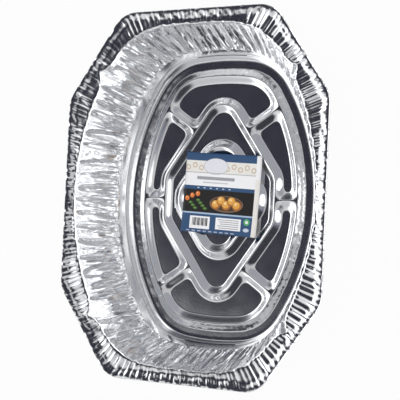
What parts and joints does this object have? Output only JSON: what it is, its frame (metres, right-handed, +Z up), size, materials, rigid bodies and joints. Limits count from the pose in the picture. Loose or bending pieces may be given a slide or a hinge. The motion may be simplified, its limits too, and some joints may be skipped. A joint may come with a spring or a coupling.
{
  "type": "foil roasting pan",
  "caption": "Oval roasting pan pressed from aluminium foil, with a ribbed floor, pleated wall, wide flange with pouring spouts and a loose paper label.",
  "frame": {"origin": "under the middle of the floor, on the surface that the pan stands on", "axes": "+X along the pan, +Y across it, +Z up out of the mouth"},
  "size_m": [0.4568, 0.3618, 0.0855],
  "materials": {
    "foil": "bright pressed foil",
    "label": "coated printed paper"
  },
  "bodies": {
    "root": {"foil_pan": "foil", "paper_label": "label"}
  },
  "joints": []
}
